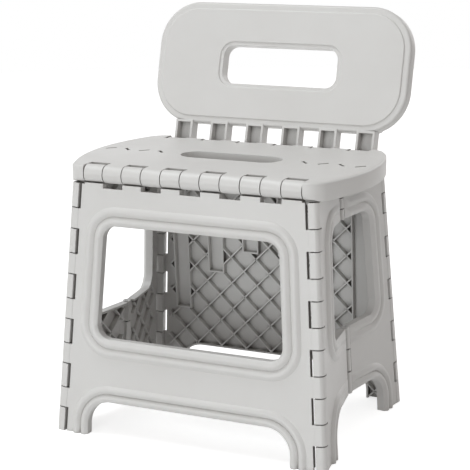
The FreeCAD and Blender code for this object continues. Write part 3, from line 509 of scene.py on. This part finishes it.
def softOutline(points):  # corners are given as across, up and radius
    outline = []
    for before, here, after in zip(points[-1:] + points[:-1], points, points[1:] + points[:1]):
        corner, radius = Vector(here[:2]), here[2]
        if radius == 0:
            outline.append(corner)
            continue
        back = (Vector(before[:2]) - corner).normalized()
        on = (Vector(after[:2]) - corner).normalized()
        half = back.angle(on) / 2
        centre = corner + (back + on).normalized() * radius / math.sin(half)
        start = corner + back * radius / math.tan(half) - centre
        end = corner + on * radius / math.tan(half) - centre
        turn = math.atan2(start.x * end.y - start.y * end.x, start.dot(end)) / fineRibs["cornerSteps"]
        for step in range(fineRibs["cornerSteps"] + 1):
            outline.append(centre + Matrix.Rotation(turn * step, 2) @ start)
    return outline


def softBox(left, low, right, high, corner=0):
    return softOutline([(left, low, corner), (right, low, corner),
                        (right, high, corner), (left, high, corner)])


def insideOutline(point, outline):
    hits = 0
    for a, b in zip(outline, outline[1:] + outline[:1]):
        if (a.y > point.y) != (b.y > point.y):
            hits += a.x + (point.y - a.y) / (b.y - a.y) * (b.x - a.x) > point.x
    return hits % 2 == 1


def ribRuns(start, way, field, gaps):  # stretches of a line that lie in the field and in none of its gaps
    marks = []
    for outline in [field] + gaps:
        for a, b in zip(outline, outline[1:] + outline[:1]):
            side = b - a
            cross = way.x * side.y - way.y * side.x
            if abs(cross) > fineRibs["parallel"]:
                off = a - start
                if 0 <= (off.x * way.y - off.y * way.x) / cross < 1:
                    marks.append((off.x * side.y - off.y * side.x) / cross)
    marks.sort()
    runs = []
    for near, far in zip(marks[:-1], marks[1:]):
        middle = start + way * (near + far) / 2
        if insideOutline(middle, field) and not any(insideOutline(middle, gap) for gap in gaps):
            runs.append((near, far))
    return runs


def addRibs(name, body, panel, field, gaps, centre, low, high, everyLine=False):
    bm = bmesh.new()
    for lean in (-1, 1):
        way = Vector((1, lean)).normalized()
        for count in range(-fineRibs["lines"], fineRibs["lines"] + 1):
            if count % 2 and not everyLine:
                continue  # the main ribs of the CAD solid are on the odd lines
            start = centre + Vector((0, count * fineRibs["step"]))
            for near, far in ribRuns(start, way, field, gaps):
                middle = start + way * (near + far) / 2
                bar = Matrix.LocRotScale(
                    Vector((middle.x, (low + high) / 2, middle.y)),
                    Matrix.Rotation(-lean * math.pi / 4, 3, "Y").to_quaternion(),
                    Vector((far - near, high - low, fineRibs["wall"])))
                bmesh.ops.create_cube(bm, size=1, matrix=panel @ bar)
    addPiece(name, bm, body)


def ribLegPanel(name, node):  # the front panel has a window, the rear one is closed and has troughs
    panel = panels[node]
    left, right = hinges[node]
    closed = node == "rear_panel"
    overlap = gapEnds["overlap"]
    edge = right if (panel.inverted() @ right[0]).x > 0 else left
    foot, top = fineRibs["foot"], legs["top"] / panel.col[2].z
    head = top if closed else top - fineRibs["frontHead"]
    low = acrossAt(panel, edge, foot) - fineRibs["margin"]
    high = acrossAt(panel, edge, head) - fineRibs["margin"]
    field = softOutline([(-low, foot, 0), (low, foot, 0), (high, head, 0), (-high, head, 0)])
    side = acrossAt(panel, edge, 0) - legArch["inset"] + overlap
    crown, bend = legArch["top"] + overlap, legArch["corner"]
    gaps = [softOutline([(-side, gapEnds["below"], 0), (-side, crown, bend), (side, crown, bend),
                         (side, gapEnds["below"], 0)])]
    if closed:
        half = troughs["width"] / 2 - overlap
        for count, length in enumerate(troughs["lengths"]):
            place = (count - (len(troughs["lengths"]) - 1) / 2) * troughs["pitch"]
            gaps.append(softBox(place - half, top - length, place + half, top + gapEnds["above"]))
    else:
        up, down, bend = frontWindow["top"] + overlap, frontWindow["bottom"] - overlap, frontWindow["corner"]
        wide = acrossAt(panel, edge, frontWindow["top"]) - frontWindow["inset"] + overlap
        wider = acrossAt(panel, edge, frontWindow["bottom"]) - frontWindow["inset"] + overlap
        gaps.append(softOutline([(wide, up, bend), (wider, down, bend),
                                 (-wider, down, bend), (-wide, up, bend)]))
    centre = Vector((0, (foot + top) / 2))
    addRibs(name, bodyOf[node], panel, field, gaps, centre, ribLow, ribTop(node), not closed)


def ribSideHalf(name, node):
    panel = panels[node]
    corner, middle = hinges[node]
    overlap = gapEnds["overlap"]
    hand = 1 if (panel.inverted() @ middle[0]).x > 0 else -1
    foot, top = fineRibs["foot"], legs["top"] / panel.col[2].z
    near, far = hand * fineRibs["sideMargin"], -hand * fineRibs["foldMargin"]
    sides = [acrossAt(panel, corner, foot) + near, acrossAt(panel, middle, foot) + far]
    field = softOutline([(sides[0], foot, 0), (sides[1], foot, 0),
                         (acrossAt(panel, middle, top) + far, top, 0),
                         (acrossAt(panel, corner, top) + near, top, 0)])
    past = acrossAt(panel, middle, 0) + hand * gapEnds["past"]
    up, down, bend = sideWindow["top"] + overlap, sideWindow["bottom"] - overlap, sideWindow["corner"]
    inset = hand * (sideWindow["inset"] - overlap)
    high = acrossAt(panel, corner, sideWindow["top"]) + inset
    low = acrossAt(panel, corner, sideWindow["bottom"]) + inset
    window = softOutline([(past, up, 0), (high, up, bend), (low, down, bend), (past, down, 0)])
    side = acrossAt(panel, corner, 0) + hand * (sideArch["inset"] - overlap)
    crown, below = sideArch["top"] + overlap, gapEnds["below"]
    arch = softOutline([(past, crown, 0), (side, crown, sideArch["corner"]),
                        (side, below, 0), (past, below, 0)])
    centre = Vector((sum(sides) / 2, (foot + top) / 2))
    addRibs(name, bodyOf[node], panel, field, [window, arch], centre, ribLow, ribTop(node))


ribLegPanel("frontPanelRibs", "front_panel")
ribLegPanel("rearPanelFineRibs", "rear_panel")
ribSideHalf("leftFrontSideFineRibs", "left_front_side")
ribSideHalf("leftRearSideFineRibs", "left_rear_side")
ribSideHalf("rightFrontSideFineRibs", "right_front_side")
ribSideHalf("rightRearSideFineRibs", "right_rear_side")
print("leg ribs added")

seatUnder = {"ceiling": 0.272, "depth": 0.009, "halfDepth": 0.0763, "halfWidth": 0.1517, "bulge": 0.019,
             "bulgeDepth": 0.088, "slot": (0.0563, 0.0193), "steps": 12}
backRest = {"skinBack": 0.0148, "depth": 0.009, "halfWidth": 0.1444, "low": 0.0287,
            "high": 0.1589, "corner": 0.0447, "hole": (0.0675, 0.0709, 0.1152, 0.0133)}


def ribSeat():  # the lattice under the seat leaves out the hand slot and the wells
    radius = (seatUnder["bulgeDepth"] ** 2 + seatUnder["bulge"] ** 2) / (2 * seatUnder["bulge"])
    end = []
    for step in range(seatUnder["steps"] + 1):
        up = seatUnder["halfDepth"] * (2 * step / seatUnder["steps"] - 1)
        end.append(Vector((seatUnder["halfWidth"] - radius + math.sqrt(radius ** 2 - up ** 2), up)))
    field = end + [Vector((-point.x, point.y)) for point in reversed(end)]
    half, tall = seatUnder["slot"]
    gaps = [softBox(-half, -tall, half, tall, tall)]
    long, wide = slitWells["long"] / 2, slitWells["wide"] / 2
    for middle, lean in slitPlaces():
        turn = Matrix.Rotation(slitWells["turn"] * lean, 2)
        gaps.append([Vector((middle.x, 0)) + turn @ point for point in softBox(-long, -wide, long, wide)])
    under = Matrix.Translation((0, legs["middle"], seatUnder["ceiling"]))
    under @= Matrix.Rotation(-math.pi / 2, 4, "X")
    addRibs("seatFineRibs", "seat", under, field, gaps, Vector((0, 0)), -fineRibs["sunk"],
            seatUnder["depth"])


def ribBackrest():
    wide, low, high = backRest["halfWidth"], backRest["low"], backRest["high"]
    field = softBox(-wide, low, wide, high, backRest["corner"])
    half, down, up, corner = backRest["hole"]
    addRibs("backrestFineRibs", "backrest", leaning, field, [softBox(-half, down, half, up, corner)],
            Vector((0, (low + high) / 2)), backRest["skinBack"] - fineRibs["sunk"],
            backRest["skinBack"] + backRest["depth"])


ribSeat()
ribBackrest()
print("seat and backrest ribs added")


# studio

studio = {"floorRadius": 3.0, "floorSides": 96, "floorTone": 0.75, "floorRough": 0.9, "floorLift": 0.72,
          "sky": 0.4, "skyTint": (1, 0.965, 0.94), "aim": (0, 0, 0.2)}
lamps = {"topLamp": {"place": (-0.9, -0.45, 2.8), "power": 37, "size": 1.6, "tint": (0.935, 0.98, 1)},
         "frontLamp": {"place": (-0.2, -2.8, 0.3), "power": 33, "size": 1.3, "tint": (0.945, 0.985, 1)},
         "backLamp": {"place": (0.9, 2.6, 1.1), "power": 11, "size": 1.6, "tint": (1, 1, 1)}}
view = {"azimuth": 24.69, "elevation": 13.31, "roll": -0.39, "distance": 1.51233, "across": 0.00324,
        "height": 0.19376, "focalPixels": 1477.6, "framePixels": 470, "sensor": 36}


def anyRay(tree):  # camera, mirror and glass rays
    path = tree.nodes.new("ShaderNodeLightPath")
    first, second = mathNode(tree, "MAXIMUM"), mathNode(tree, "MAXIMUM")
    tree.links.new(path.outputs["Is Camera Ray"], first.inputs[0])
    tree.links.new(path.outputs["Is Glossy Ray"], first.inputs[1])
    tree.links.new(first.outputs["Value"], second.inputs[0])
    tree.links.new(path.outputs["Is Transmission Ray"], second.inputs[1])
    return second.outputs["Value"]


def makeFloor():
    bm = bmesh.new()
    bmesh.ops.create_circle(bm, cap_ends=True, radius=studio["floorRadius"], segments=studio["floorSides"])
    mesh = bpy.data.meshes.new("studioFloor")
    bm.to_mesh(mesh)
    bm.free()
    floor = bpy.data.objects.new("studioFloor", mesh)
    scene.collection.objects.link(floor)
    material = bpy.data.materials.new("paleFloor")
    material.use_nodes = True
    tree = material.node_tree
    shader = tree.nodes["Principled BSDF"]
    shader.inputs["Base Color"].default_value = (studio["floorTone"],) * 3 + (1,)
    shader.inputs["Roughness"].default_value = studio["floorRough"]
    shader.inputs["Specular IOR Level"].default_value = 0
    lift = mathNode(tree, "MULTIPLY", studio["floorLift"])
    tree.links.new(anyRay(tree), lift.inputs[0])
    shader.inputs["Emission Color"].default_value = (1, 1, 1, 1)
    tree.links.new(lift.outputs["Value"], shader.inputs["Emission Strength"])
    mesh.materials.append(material)


def makeSky():
    world = bpy.data.worlds.new("studioSky")
    world.use_nodes = True
    scene.world = world
    tree = world.node_tree
    seen = mixNode(tree, [part * studio["sky"] for part in studio["skyTint"]], (1, 1, 1))
    tree.links.new(anyRay(tree), seen.inputs[mixSockets["share"]])
    tree.links.new(seen.outputs[mixSockets["colour"]], tree.nodes["Background"].inputs["Color"])


def makeLamp(name, look):
    lamp = bpy.data.lights.new(name, "AREA")
    lamp.shape = "DISK"
    lamp.size = look["size"]
    lamp.energy = look["power"]
    lamp.color = look["tint"]
    holder = bpy.data.objects.new(name, lamp)
    holder.location = look["place"]
    holder.rotation_euler = (Vector(studio["aim"]) - holder.location).to_track_quat("-Z", "Y").to_euler()
    scene.collection.objects.link(holder)


def makeCamera():
    turn, tilt, roll = (math.radians(view[key]) for key in ("azimuth", "elevation", "roll"))
    back = Vector((math.sin(turn) * math.cos(tilt), -math.cos(turn) * math.cos(tilt), math.sin(tilt)))
    right = Vector((math.cos(turn), math.sin(turn), 0))
    up = back.cross(right)
    place = right * view["across"] + Vector((0, legs["middle"], view["height"])) + back * view["distance"]
    right, up = right * math.cos(roll) + up * math.sin(roll), up * math.cos(roll) - right * math.sin(roll)
    lens = bpy.data.cameras.new("photoCamera")
    lens.sensor_fit = "HORIZONTAL"
    lens.sensor_width = view["sensor"]
    lens.lens = view["focalPixels"] / view["framePixels"] * view["sensor"]
    camera = bpy.data.objects.new("photoCamera", lens)
    camera.matrix_world = Matrix.Translation(place) @ Matrix((right, up, back)).transposed().to_4x4()
    scene.collection.objects.link(camera)
    scene.camera = camera


makeFloor()
makeSky()
for name, look in lamps.items():
    makeLamp(name, look)
makeCamera()
print("studio set")
